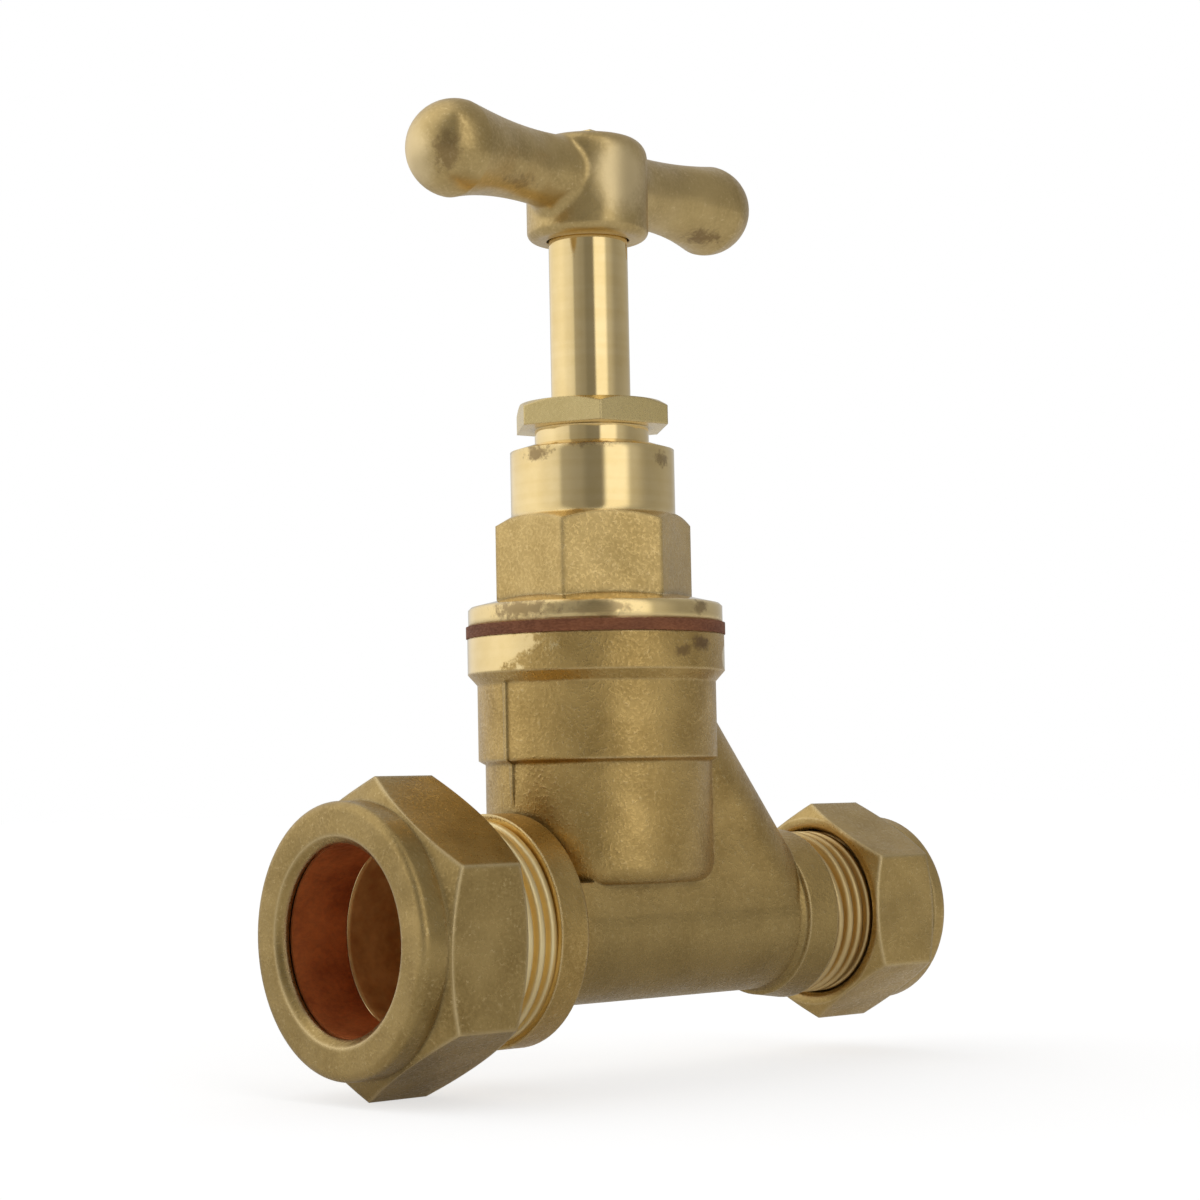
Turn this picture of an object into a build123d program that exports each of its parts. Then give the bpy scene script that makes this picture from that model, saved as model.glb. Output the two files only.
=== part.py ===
"""Screw-down brass stopcock with a 22 mm and a 15 mm compression end.

The origin is the pipe stop of the inlet socket, on the pipe axis. +X runs along the pipe from inlet
to outlet, +Z runs up the spindle. All sizes are in millimetres.
"""
import os
from math import cos, radians, sin, sqrt, tan

from build123d import *

os.makedirs("parts", exist_ok=True)

# Pipes and their sockets
inlet_pipe_d = 22.0
outlet_pipe_d = 15.0
pipe_clearance = 0.1
inlet_socket_depth = 16.0
outlet_socket_depth = 12.3
stop_to_spindle = 15.0
spindle_to_outlet_stop = 30.0

# Pipe threads, drawn as plain cylinders at the root on the body and at the crest in the nuts
inlet_socket_wall = 0.96
outlet_socket_wall = 1.72
pipe_thread_depth = 1.16
pipe_thread_clearance = 0.25

# Hot-stamped body
run_d = 19.0
inlet_shoulder_step = 0.73
inlet_shoulder_length = 5.3
inlet_stop_wall = 1.7
shoulder_edge = 1.3
shoulder_fillet = 2.6
outlet_collar_step = 0.42
outlet_collar_length = 5.1
outlet_collar_ramp = 0.7
outlet_collar_taper = 0.6
outlet_lip_rise = 0.55
outlet_lip_run = 0.2
outlet_thread_length = 10.9
thread_undercut = 0.5
chamber_d = 27.8
chamber_base_z = 5.2
neck_d = 29.5
neck_base_z = 20.3
body_collar_d = 31.8
body_collar_base_z = 30.9
body_collar_chamfer = 1.3
body_top_z = 35.4
web_half_width = 9.4
web_slope = 52.5
web_toe = 28.5
web_ridge_flat = 1.0
flank_rise = 0.4
chamber_edge_radius = 2.0
neck_step_drop = 0.5
root_fillet = 1.5
flash_height = 0.25
flash_width = 0.5
flash_foot_z = 14.5
flash_fade = 3.0

# Waterway inside the body
inlet_way_d = 15.2
outlet_way_d = 12.4
outlet_elbow = 24.0
passage_overlap = 1.0
chamber_bore_d = 22.0
chamber_floor_z = 9.6
seat_top_z = 10.8
seat_bore_d = 12.0
seat_ring_d = 15.4
bonnet_thread_d = 24.2
bonnet_thread_depth = 13.4

# Bonnet
bonnet_washer_thickness = 1.4
washer_overhang = 0.15
flange_inset = 0.15
bonnet_flange_thickness = 2.4
bonnet_flange_edge = 0.35
bonnet_flange_cone = 1.1
bonnet_hex_flats = 21.4
bonnet_hex_turn = 29.6
bonnet_hex_height = 11.2
bonnet_barrel_d = 20.4
bonnet_barrel_height = 8.85
bonnet_crown_drop = 0.85
bonnet_crown_land = 0.25
plate_headroom = 0.9
nipple_chamfer = 0.9
thread_slack = 0.1

# Spindle and its gland
stem_d = 9.86
running_clearance = 0.08
spindle_thread_d = 12.4
spindle_nose_d = 10.0
spindle_nose_length = 2.8
square_step = 1.43
back_seat_thickness = 3.0
back_seat_gap = 0.1
packing_height = 3.3
gland_thread_d = 14.2
gland_neck_length = 8.9
gland_head_height = 3.1
gland_flats = 17.8
gland_turn = 54.4
gland_gap = 2.0

# Crutch handle
hub_d = 15.2
hub_base_z = 84.9
hub_height = 12.8
hub_crown_radius = 2.6
hub_base_radius = 1.2
hub_mouth_clearance = 0.27
hub_mouth_depth = 2.5
arm_rise = 7.65
arm_turn = 9.4
lobe_reach = 24.9
lobe_d = 11.7
arm_root_reach = 5.0
arm_root_height = 9.6
arm_root_width = 10.4
arm_root_radius = 1.5
arm_waist_reach = 10.0
arm_waist_height = 9.1
arm_waist_width = 8.0
arm_waist_rise = 0.2
arm_mid_height = 9.5
arm_mid_width = 9.0
square_clearance = 0.05
rivet_height = 0.4
rivet_rounding = 0.35

# Jumper valve, drawn a quarter turn short of fully open
spindle_lead = 2.0
full_lift = 8.0
rest_below_open = spindle_lead / 4
closing_gap = 0.1
jumper_plate_d = 16.2
jumper_plate_thickness = 2.5
jumper_stem_d = 5.8
jumper_stem_length = 11.0
jumper_slack = 0.1
valve_washer_inset = 0.1
jumper_washer_thickness = 3.2
jumper_spigot_d = 4.8
jumper_nut_flats = 8.0
jumper_nut_height = 2.6

# Compression nuts and olives
inlet_nut_wall = 2.68
inlet_nut_turn = 3.0
inlet_nut_length = 14.9
inlet_boss_length = 5.1
inlet_boss_step = 0.25
outlet_nut_wall = 1.47
outlet_nut_turn = 0.9
outlet_nut_length = 13.6
outlet_boss_length = 3.8
outlet_boss_step = 0.1
nut_corner_angle = 30.0
nut_edge_radius = 0.9
nut_mouth_chamfer = 0.9
nut_hole_land = 0.5
nut_inner_chamfer = 0.6
nut_neck_groove = 0.35
inlet_olive_length = 7.8
inlet_olive_wall = 1.22
outlet_olive_length = 6.5
outlet_olive_wall = 1.12
olive_end_wall = 0.34
olive_bore_clearance = 0.08
olive_seat_gap = 0.15
mouth_cone_depth = 0.75

# Places worked out from the sizes above
spindle_x = stop_to_spindle
outlet_stop_x = spindle_x + spindle_to_outlet_stop
inlet_mouth_x = -inlet_socket_depth
outlet_mouth_x = outlet_stop_x + outlet_socket_depth
inlet_socket_r = inlet_pipe_d / 2 + pipe_clearance
outlet_socket_r = outlet_pipe_d / 2 + pipe_clearance
inlet_root_r = inlet_socket_r + inlet_socket_wall
outlet_root_r = outlet_socket_r + outlet_socket_wall
inlet_crest_r = inlet_root_r + pipe_thread_depth
outlet_crest_r = outlet_root_r + pipe_thread_depth
inlet_shoulder_r = inlet_crest_r + inlet_shoulder_step
outlet_collar_r = outlet_crest_r + outlet_collar_step
run_start_x = inlet_stop_wall
inlet_shoulder_x = run_start_x - inlet_shoulder_length
outlet_collar_end_x = outlet_mouth_x - outlet_thread_length
outlet_collar_x = outlet_collar_end_x - outlet_collar_length
outlet_lip_r = outlet_collar_r - outlet_collar_taper
washer_top_z = body_top_z + bonnet_washer_thickness
flange_top_z = washer_top_z + bonnet_flange_thickness
hex_top_z = flange_top_z + bonnet_hex_height
bonnet_top_z = hex_top_z + bonnet_barrel_height
gland_head_z = bonnet_top_z + gland_gap
packing_top_z = gland_head_z - gland_neck_length
box_floor_z = packing_top_z - packing_height
back_seat_z = box_floor_z - back_seat_thickness
stem_hole_r = stem_d / 2 + running_clearance
spindle_square = stem_d - 2 * square_step
lift_at_rest = full_lift - rest_below_open
valve_washer_z = seat_top_z + closing_gap + lift_at_rest
plate_base_z = valve_washer_z + jumper_washer_thickness
plate_top_z = plate_base_z + jumper_plate_thickness
bonnet_base_z = plate_top_z + rest_below_open + plate_headroom
spindle_base_z = plate_top_z + jumper_slack / 2
spindle_thread_top_z = back_seat_z - rest_below_open - back_seat_gap
hub_top_z = hub_base_z + hub_height
arm_z = hub_base_z + arm_rise
spindle_axis = Axis((spindle_x, 0, 0), (0, 0, 1))
spindle_section = Plane(origin=(spindle_x, 0, 0), x_dir=(1, 0, 0), z_dir=(0, -1, 0))


def level(z):
    """Level plane across the spindle axis at height z."""
    return Plane(origin=(spindle_x, 0, z))


def hex_corner(flats):
    """Corner radius of a hexagon from its size across flats."""
    return flats / sqrt(3)


# Stepped prism that carries the outlet passage down from the chamber to the run
web_rise = tan(radians(web_slope))
web_toe_x = spindle_x + web_toe
web_head_z = body_collar_base_z - body_collar_chamfer
web_head_x = web_toe_x - (web_head_z - run_d / 2) / web_rise
web_back_x = spindle_x - web_half_width
flank_top_z = chamber_base_z + flank_rise
with BuildPart() as outlet_web:
    with BuildSketch(Plane.XZ):
        with BuildLine():
            Polyline(
                (run_start_x, 0),
                (run_start_x, flank_top_z),
                (web_back_x, flank_top_z),
                (web_back_x, web_head_z),
                (web_head_x, web_head_z),
                (web_toe_x, run_d / 2),
                (web_toe_x, 0),
                close=True,
            )
        make_face()
    extrude(amount=web_half_width, both=True)
    ridge_face = outlet_web.faces().sort_by(Axis.X)[-2]
    fillet(ridge_face.edges().filter_by(Axis.Y, reverse=True), web_half_width - web_ridge_flat)

# Valve body: stamped run, chamber and neck, with the waterway bored through it
chamber_flat_r = chamber_d / 2 - chamber_edge_radius
chamber_round_z = chamber_base_z + chamber_edge_radius
fillet_end_x = run_start_x + shoulder_fillet
with BuildPart() as body:
    with BuildSketch(Plane.XZ):
        with BuildLine():
            Polyline(
                (inlet_mouth_x, 0),
                (inlet_mouth_x, inlet_root_r),
                (inlet_shoulder_x, inlet_root_r),
                (inlet_shoulder_x, inlet_shoulder_r),
                (run_start_x - shoulder_edge, inlet_shoulder_r),
                (run_start_x, inlet_shoulder_r - shoulder_edge),
                (run_start_x, run_d / 2 + shoulder_fillet),
            )
            CenterArc((fillet_end_x, run_d / 2 + shoulder_fillet), shoulder_fillet, 180, 90)
            Polyline(
                (fillet_end_x, run_d / 2),
                (outlet_collar_x - outlet_collar_ramp, run_d / 2),
                (outlet_collar_x, outlet_lip_r - outlet_lip_rise),
                (outlet_collar_x + outlet_lip_run, outlet_lip_r),
                (outlet_collar_end_x - thread_undercut, outlet_collar_r),
                (outlet_collar_end_x, outlet_collar_r - thread_undercut),
                (outlet_collar_end_x, outlet_root_r),
                (outlet_mouth_x, outlet_root_r),
                (outlet_mouth_x, 0),
                (inlet_mouth_x, 0),
            )
        make_face()
    revolve(axis=Axis.X)
    with BuildSketch(spindle_section):
        with BuildLine():
            Line((0, chamber_base_z), (chamber_flat_r, chamber_base_z))
            CenterArc((chamber_flat_r, chamber_round_z), chamber_edge_radius, -90, 90)
            Polyline(
                (chamber_d / 2, chamber_round_z),
                (chamber_d / 2, neck_base_z - neck_step_drop),
                (neck_d / 2, neck_base_z),
                (neck_d / 2, body_collar_base_z - body_collar_chamfer),
                (body_collar_d / 2, body_collar_base_z),
                (body_collar_d / 2, body_top_z),
                (0, body_top_z),
                (0, chamber_base_z),
            )
        make_face()
    revolve(axis=spindle_axis)
    add(outlet_web.part)

    # Hollow fillets where the flat sides of the web leave the round chamber
    fillet_y = web_half_width + root_fillet
    fillet_x = sqrt((chamber_d / 2 + root_fillet) ** 2 - fillet_y ** 2)
    chamber_share = chamber_d / (chamber_d + 2 * root_fillet)
    fillet_bend = root_fillet / 2
    for side in (-1, 1):
        with BuildSketch(level(chamber_round_z)):
            with BuildLine():
                root_start = (fillet_x * chamber_share, side * fillet_y * chamber_share)
                root_end = (fillet_x, side * web_half_width)
                root_back = (fillet_x - root_fillet, side * (web_half_width - fillet_bend))
                RadiusArc(root_start, root_end, -side * root_fillet)
                Polyline(root_end, root_back, root_start)
            make_face()
        extrude(amount=neck_base_z - chamber_round_z)

    # Flash line left by the stamping dies, down the side away from the web
    with BuildSketch(Plane.XZ):
        with BuildLine():
            Polyline(
                (spindle_x, flash_foot_z),
                (spindle_x - chamber_d / 2, flash_foot_z),
                (spindle_x - chamber_d / 2 - flash_height, flash_foot_z + flash_fade),
                (spindle_x - chamber_d / 2 - flash_height, neck_base_z - neck_step_drop),
                (spindle_x - neck_d / 2 - flash_height, neck_base_z),
                (spindle_x - neck_d / 2 - flash_height, web_head_z),
                (spindle_x, web_head_z),
                close=True,
            )
        make_face()
    extrude(amount=flash_width / 2, both=True)

    # Chamber above the seat, with the bonnet's thread at its mouth
    with BuildSketch(spindle_section):
        with BuildLine():
            Polyline(
                (0, seat_top_z),
                (seat_ring_d / 2, seat_top_z),
                (seat_ring_d / 2, chamber_floor_z),
                (chamber_bore_d / 2, chamber_floor_z),
                (chamber_bore_d / 2, body_top_z - bonnet_thread_depth),
                (bonnet_thread_d / 2, body_top_z - bonnet_thread_depth),
                (bonnet_thread_d / 2, body_top_z),
                (0, body_top_z),
                close=True,
            )
        make_face()
    revolve(axis=spindle_axis, mode=Mode.SUBTRACT)

    # Inlet socket with its olive cone, and the blind way to the seat
    with BuildSketch(Plane.XZ):
        with BuildLine():
            Polyline(
                (inlet_mouth_x, 0),
                (inlet_mouth_x, inlet_socket_r + mouth_cone_depth),
                (inlet_mouth_x + mouth_cone_depth, inlet_socket_r),
                (0, inlet_socket_r),
                (0, inlet_way_d / 2),
                (spindle_x, inlet_way_d / 2),
            )
            CenterArc((spindle_x, 0), inlet_way_d / 2, 90, -90)
            Line((spindle_x + inlet_way_d / 2, 0), (inlet_mouth_x, 0))
        make_face()
    revolve(axis=Axis.X, mode=Mode.SUBTRACT)
    with BuildSketch(level(0)):
        Circle(seat_bore_d / 2)
    extrude(amount=seat_top_z, mode=Mode.SUBTRACT)

    # Outlet socket with its olive cone, and the sloping way down from the chamber
    elbow_x = spindle_x + outlet_elbow
    with BuildSketch(Plane.XZ):
        with BuildLine():
            Polyline(
                (outlet_mouth_x, 0),
                (outlet_mouth_x, outlet_socket_r + mouth_cone_depth),
                (outlet_mouth_x - mouth_cone_depth, outlet_socket_r),
                (outlet_stop_x, outlet_socket_r),
                (outlet_stop_x, outlet_way_d / 2),
                (elbow_x, outlet_way_d / 2),
            )
            CenterArc((elbow_x, 0), outlet_way_d / 2, 90, 90)
            Line((elbow_x - outlet_way_d / 2, 0), (outlet_mouth_x, 0))
        make_face()
    revolve(axis=Axis.X, mode=Mode.SUBTRACT)
    passage_dir = (-cos(radians(web_slope)), 0, sin(radians(web_slope)))
    passage_length = (outlet_elbow - chamber_bore_d / 2 + passage_overlap) / cos(radians(web_slope))
    with BuildSketch(Plane(origin=(elbow_x, 0, 0), x_dir=(0, 1, 0), z_dir=passage_dir)):
        Circle(outlet_way_d / 2)
    extrude(amount=passage_length, mode=Mode.SUBTRACT)
body.part.label = "body"
export_step(body.part, "parts/body.step")

# Fibre washer between the body and the bonnet
with BuildPart() as bonnet_washer:
    with BuildSketch(level(body_top_z)):
        Circle(body_collar_d / 2 + washer_overhang)
        Circle(bonnet_thread_d / 2, mode=Mode.SUBTRACT)
    extrude(amount=bonnet_washer_thickness)
bonnet_washer.part.label = "bonnet_washer"
export_step(bonnet_washer.part, "parts/bonnet_washer.step")

# Bonnet: threaded nipple, flange, hexagon and barrel, with the stuffing box in its top
hex_r = bonnet_hex_flats / 2
flange_r = body_collar_d / 2 - flange_inset
crown_r = gland_thread_d / 2 + thread_slack + bonnet_crown_land
nipple_r = bonnet_thread_d / 2 - thread_slack
hex_chamfer = (hex_corner(bonnet_hex_flats) - bonnet_barrel_d / 2) * tan(radians(nut_corner_angle))
with BuildPart() as bonnet:
    with BuildSketch(level(flange_top_z)):
        RegularPolygon(hex_corner(bonnet_hex_flats), 6, rotation=bonnet_hex_turn)
    extrude(amount=bonnet_hex_height)
    with BuildSketch(spindle_section):
        with BuildLine():
            Polyline(
                (0, flange_top_z),
                (hex_corner(bonnet_hex_flats), flange_top_z),
                (hex_corner(bonnet_hex_flats), hex_top_z - hex_chamfer),
                (bonnet_barrel_d / 2, hex_top_z),
                (0, hex_top_z),
                close=True,
            )
        make_face()
    revolve(axis=spindle_axis, mode=Mode.INTERSECT)
    with BuildSketch(spindle_section):
        with BuildLine():
            Polyline(
                (0, bonnet_base_z),
                (nipple_r - nipple_chamfer, bonnet_base_z),
                (nipple_r, bonnet_base_z + nipple_chamfer),
                (nipple_r, washer_top_z),
                (flange_r, washer_top_z),
                (flange_r, flange_top_z - bonnet_flange_edge),
                (flange_r - bonnet_flange_edge, flange_top_z),
                (hex_r, flange_top_z + bonnet_flange_cone),
                (0, flange_top_z + bonnet_flange_cone),
                close=True,
            )
        make_face()
    revolve(axis=spindle_axis)
    with BuildSketch(spindle_section):
        with BuildLine():
            Polyline(
                (0, hex_top_z - hex_chamfer),
                (bonnet_barrel_d / 2, hex_top_z - hex_chamfer),
                (bonnet_barrel_d / 2, bonnet_top_z - bonnet_crown_drop),
                (crown_r, bonnet_top_z),
                (0, bonnet_top_z),
                close=True,
            )
        make_face()
    revolve(axis=spindle_axis)
    with BuildSketch(spindle_section):
        with BuildLine():
            Polyline(
                (0, bonnet_base_z),
                (spindle_thread_d / 2 + running_clearance, bonnet_base_z),
                (spindle_thread_d / 2 + running_clearance, back_seat_z),
                (stem_hole_r, back_seat_z),
                (stem_hole_r, box_floor_z),
                (gland_thread_d / 2 + thread_slack, box_floor_z),
                (gland_thread_d / 2 + thread_slack, bonnet_top_z),
                (0, bonnet_top_z),
                close=True,
            )
        make_face()
    revolve(axis=spindle_axis, mode=Mode.SUBTRACT)
bonnet.part.label = "bonnet"
export_step(bonnet.part, "parts/bonnet.step")

# Packing ring at the bottom of the stuffing box
with BuildPart() as gland_packing:
    with BuildSketch(level(box_floor_z)):
        Circle(gland_thread_d / 2)
        Circle(stem_hole_r, mode=Mode.SUBTRACT)
    extrude(amount=packing_height)
gland_packing.part.label = "gland_packing"
export_step(gland_packing.part, "parts/gland_packing.step")

# Gland nut: hexagon head on a threaded neck that presses on the packing
gland_corner_r = hex_corner(gland_flats)
gland_top_z = gland_head_z + gland_head_height
gland_chamfer = (gland_corner_r - gland_flats / 2) * tan(radians(nut_corner_angle))
with BuildPart() as gland_nut:
    with BuildSketch(level(gland_head_z)):
        RegularPolygon(gland_corner_r, 6, rotation=gland_turn)
    extrude(amount=gland_head_height)
    with BuildSketch(spindle_section):
        with BuildLine():
            Polyline(
                (0, gland_head_z),
                (gland_corner_r, gland_head_z),
                (gland_corner_r, gland_top_z - gland_chamfer),
                (gland_flats / 2, gland_top_z),
                (0, gland_top_z),
                close=True,
            )
        make_face()
    revolve(axis=spindle_axis, mode=Mode.INTERSECT)
    with BuildSketch(spindle_section):
        with BuildLine():
            Polyline(
                (0, packing_top_z),
                (gland_thread_d / 2, packing_top_z),
                (gland_thread_d / 2, gland_head_z + gland_head_height / 2),
                (0, gland_head_z + gland_head_height / 2),
                close=True,
            )
        make_face()
    revolve(axis=spindle_axis)
    with BuildSketch(level(packing_top_z)):
        Circle(stem_hole_r)
    extrude(amount=gland_top_z - packing_top_z, mode=Mode.SUBTRACT)
gland_nut.part.label = "gland_nut"
export_step(gland_nut.part, "parts/gland_nut.step")

# Spindle: drilled nose, working thread, polished stem and a riveted square for the handle
square_base_z = hub_base_z + hub_mouth_depth
with BuildPart() as spindle:
    with BuildSketch(spindle_section):
        with BuildLine():
            Polyline(
                (0, spindle_base_z),
                (spindle_nose_d / 2, spindle_base_z),
                (spindle_nose_d / 2, spindle_base_z + spindle_nose_length),
                (spindle_thread_d / 2, spindle_base_z + spindle_nose_length),
                (spindle_thread_d / 2, spindle_thread_top_z),
                (stem_d / 2, spindle_thread_top_z),
                (stem_d / 2, square_base_z),
                (0, square_base_z),
                close=True,
            )
        make_face()
    revolve(axis=spindle_axis)
    with BuildSketch(level(square_base_z).rotated((0, 0, arm_turn))):
        Rectangle(spindle_square, spindle_square)
    extrude(amount=hub_top_z + rivet_height - square_base_z)
    with BuildSketch(level(spindle_base_z)):
        Circle(jumper_stem_d / 2 + jumper_slack)
    extrude(amount=jumper_stem_length + jumper_slack, mode=Mode.SUBTRACT)
    fillet(spindle.faces().sort_by(Axis.Z)[-1].edges(), rivet_rounding)
spindle.part.label = "spindle"
export_step(spindle.part, "parts/spindle.step")

# Crutch handle: round hub with two arms that swell into lobes
lobe_r = lobe_d / 2
hub_foot_r = hub_d / 2 - hub_base_radius
hub_flat_r = hub_d / 2 - hub_crown_radius
arm_dir = Vector(cos(radians(arm_turn)), sin(radians(arm_turn)), 0)
arm_side = Vector(sin(radians(arm_turn)), -cos(radians(arm_turn)), 0)
hub_middle = Vector(spindle_x, 0, arm_z)
arm_section = Plane(origin=hub_middle, x_dir=arm_dir, z_dir=arm_side)
hub_section = Plane(origin=(spindle_x, 0, hub_base_z), x_dir=arm_side, z_dir=-arm_dir)
arm_stations = [
    (arm_root_reach, arm_root_height, arm_root_width, 0),
    (arm_waist_reach, arm_waist_height, arm_waist_width, arm_waist_rise / 2),
    ((arm_waist_reach + lobe_reach) / 2, arm_mid_height, arm_mid_width, arm_waist_rise),
    (lobe_reach, lobe_d, lobe_d, 0),
]
with BuildPart() as handle_arm:
    for reach, height, width, rise in arm_stations:
        centre = hub_middle + Vector(0, 0, rise) + arm_dir * reach
        with BuildSketch(Plane(origin=centre, x_dir=(0, 0, 1), z_dir=arm_dir)):
            Ellipse(height / 2, width / 2)
    loft()
    with BuildSketch(arm_section):
        with BuildLine():
            Line((lobe_reach, 0), (lobe_reach, lobe_r))
            CenterArc((lobe_reach, 0), lobe_r, 90, -90)
            Line((lobe_reach + lobe_r, 0), (lobe_reach, 0))
        make_face()
    revolve(axis=Axis(hub_middle, arm_dir))
with BuildPart() as crutch_handle:
    with BuildSketch(hub_section):
        with BuildLine():
            Line((0, 0), (hub_foot_r, 0))
            CenterArc((hub_foot_r, hub_base_radius), hub_base_radius, -90, 90)
            Line((hub_d / 2, hub_base_radius), (hub_d / 2, hub_height - hub_crown_radius))
            CenterArc((hub_flat_r, hub_height - hub_crown_radius), hub_crown_radius, 0, 90)
            Polyline((hub_flat_r, hub_height), (0, hub_height), (0, 0))
        make_face()
    revolve(axis=spindle_axis)
    add(handle_arm.part)
    add(mirror(handle_arm.part, about=Plane(origin=hub_middle, z_dir=arm_dir), mode=Mode.PRIVATE))
    arm_roots = crutch_handle.edges().filter_by(GeomType.BSPLINE).filter_by(
        lambda edge: abs((edge.center() - hub_middle).dot(arm_dir)) < arm_waist_reach
    )
    fillet(arm_roots, radius=arm_root_radius)
    with BuildSketch(level(hub_base_z)):
        Circle(stem_d / 2 + hub_mouth_clearance)
    extrude(amount=hub_mouth_depth, mode=Mode.SUBTRACT)
    with BuildSketch(level(square_base_z).rotated((0, 0, arm_turn))):
        Rectangle(spindle_square + 2 * square_clearance, spindle_square + 2 * square_clearance)
    extrude(amount=hub_top_z - square_base_z, mode=Mode.SUBTRACT)
crutch_handle.part.label = "crutch_handle"
export_step(crutch_handle.part, "parts/crutch_handle.step")

# Jumper: valve plate with a stem that floats in the spindle and a spigot for the washer
with BuildPart() as jumper:
    with BuildSketch(level(plate_base_z)):
        Circle(jumper_plate_d / 2)
    extrude(amount=jumper_plate_thickness)
    with BuildSketch(level(plate_top_z)):
        Circle(jumper_stem_d / 2)
    extrude(amount=jumper_stem_length)
    with BuildSketch(level(plate_base_z)):
        Circle(jumper_spigot_d / 2)
    extrude(amount=-(jumper_washer_thickness + jumper_nut_height))
jumper.part.label = "jumper"
export_step(jumper.part, "parts/jumper.step")

# Rubber washer under the jumper plate
with BuildPart() as jumper_washer:
    with BuildSketch(level(valve_washer_z)):
        Circle(jumper_plate_d / 2 - valve_washer_inset)
        Circle(jumper_spigot_d / 2, mode=Mode.SUBTRACT)
    extrude(amount=jumper_washer_thickness)
jumper_washer.part.label = "jumper_washer"
export_step(jumper_washer.part, "parts/jumper_washer.step")

# Small nut that holds the washer on its spigot
with BuildPart() as jumper_nut:
    with BuildSketch(level(valve_washer_z - jumper_nut_height)):
        RegularPolygon(hex_corner(jumper_nut_flats), 6)
        Circle(jumper_spigot_d / 2, mode=Mode.SUBTRACT)
    extrude(amount=jumper_nut_height)
jumper_nut.part.label = "jumper_nut"
export_step(jumper_nut.part, "parts/jumper_nut.step")


def olive(mouth_x, outward, pipe_d, socket_r, length, wall):
    """Barrel-shaped compression ring, its inner end just off the cone in the body's mouth."""
    bore_r = pipe_d / 2 + olive_bore_clearance
    end_r = bore_r + olive_end_wall
    crown_r = bore_r + wall
    seat_inset = socket_r + mouth_cone_depth - end_r - olive_seat_gap * sqrt(2)
    inner_x = mouth_x - outward * seat_inset
    section = Plane(origin=(inner_x, 0, 0), x_dir=(outward, 0, 0), z_dir=(0, -outward, 0))
    with BuildPart() as ring:
        with BuildSketch(section):
            with BuildLine():
                Line((0, bore_r), (0, end_r))
                ThreePointArc((0, end_r), (length / 2, crown_r), (length, end_r))
                Polyline((length, end_r), (length, bore_r), (0, bore_r))
            make_face()
        revolve(axis=Axis.X)
    return ring.part, inner_x + outward * length, end_r


def compression_nut(olive_x, olive_r, outward, pipe_d, crest_r, wall, boss_step, boss_length, length, turn):
    """Hexagon nut with a round boss, an inner cone for the olive and a bored thread."""
    hole_r = pipe_d / 2 + pipe_clearance
    thread_r = crest_r + pipe_thread_clearance
    flat_r = thread_r + wall
    boss_r = flat_r - boss_step
    corner_r = hex_corner(2 * flat_r)
    corner_drop = (corner_r - flat_r) * tan(radians(nut_corner_angle))
    land_x = nut_mouth_chamfer + nut_hole_land
    face_x = olive_x + outward * (land_x + olive_r - hole_r + olive_seat_gap * sqrt(2))
    section = Plane(origin=(face_x, 0, 0), x_dir=(-outward, 0, 0), z_dir=(0, outward, 0))
    hex_plane = Plane(origin=(face_x, 0, 0), x_dir=(0, 0, 1), z_dir=(-outward, 0, 0))
    hex_x = boss_length - corner_drop
    with BuildPart() as nut:
        with BuildSketch(hex_plane):
            RegularPolygon(corner_r, 6, rotation=turn)
        extrude(amount=length)
        with BuildSketch(section):
            with BuildLine():
                Line((0, 0), (0, boss_r - nut_edge_radius))
                RadiusArc((0, boss_r - nut_edge_radius), (nut_edge_radius, boss_r), nut_edge_radius)
                Polyline(
                    (nut_edge_radius, boss_r),
                    (hex_x - nut_neck_groove, boss_r),
                    (hex_x, flat_r - nut_neck_groove),
                    (boss_length, corner_r),
                    (length - corner_drop, corner_r),
                    (length, flat_r),
                    (length, 0),
                    (0, 0),
                )
            make_face()
        revolve(axis=Axis.X, mode=Mode.INTERSECT)
        with BuildSketch(section):
            with BuildLine():
                Polyline(
                    (0, 0),
                    (0, hole_r + nut_mouth_chamfer),
                    (nut_mouth_chamfer, hole_r),
                    (land_x, hole_r),
                    (land_x + thread_r - hole_r, thread_r),
                    (length - nut_inner_chamfer, thread_r),
                    (length, thread_r + nut_inner_chamfer),
                    (length, 0),
                    close=True,
                )
            make_face()
        revolve(axis=Axis.X, mode=Mode.SUBTRACT)
    return nut.part


inlet_olive, inlet_olive_x, inlet_olive_r = olive(
    inlet_mouth_x, -1, inlet_pipe_d, inlet_socket_r, inlet_olive_length, inlet_olive_wall)
inlet_olive.label = "inlet_olive"
export_step(inlet_olive, "parts/inlet_olive.step")

inlet_nut = compression_nut(
    inlet_olive_x, inlet_olive_r, -1, inlet_pipe_d, inlet_crest_r, inlet_nut_wall,
    inlet_boss_step, inlet_boss_length, inlet_nut_length, inlet_nut_turn)
inlet_nut.label = "inlet_nut"
export_step(inlet_nut, "parts/inlet_nut.step")

outlet_olive, outlet_olive_x, outlet_olive_r = olive(
    outlet_mouth_x, 1, outlet_pipe_d, outlet_socket_r, outlet_olive_length, outlet_olive_wall)
outlet_olive.label = "outlet_olive"
export_step(outlet_olive, "parts/outlet_olive.step")

outlet_nut = compression_nut(
    outlet_olive_x, outlet_olive_r, 1, outlet_pipe_d, outlet_crest_r, outlet_nut_wall,
    outlet_boss_step, outlet_boss_length, outlet_nut_length, outlet_nut_turn)
outlet_nut.label = "outlet_nut"
export_step(outlet_nut, "parts/outlet_nut.step")
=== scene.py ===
import bpy
import numpy as np
from mathutils import Matrix, Vector


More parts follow.
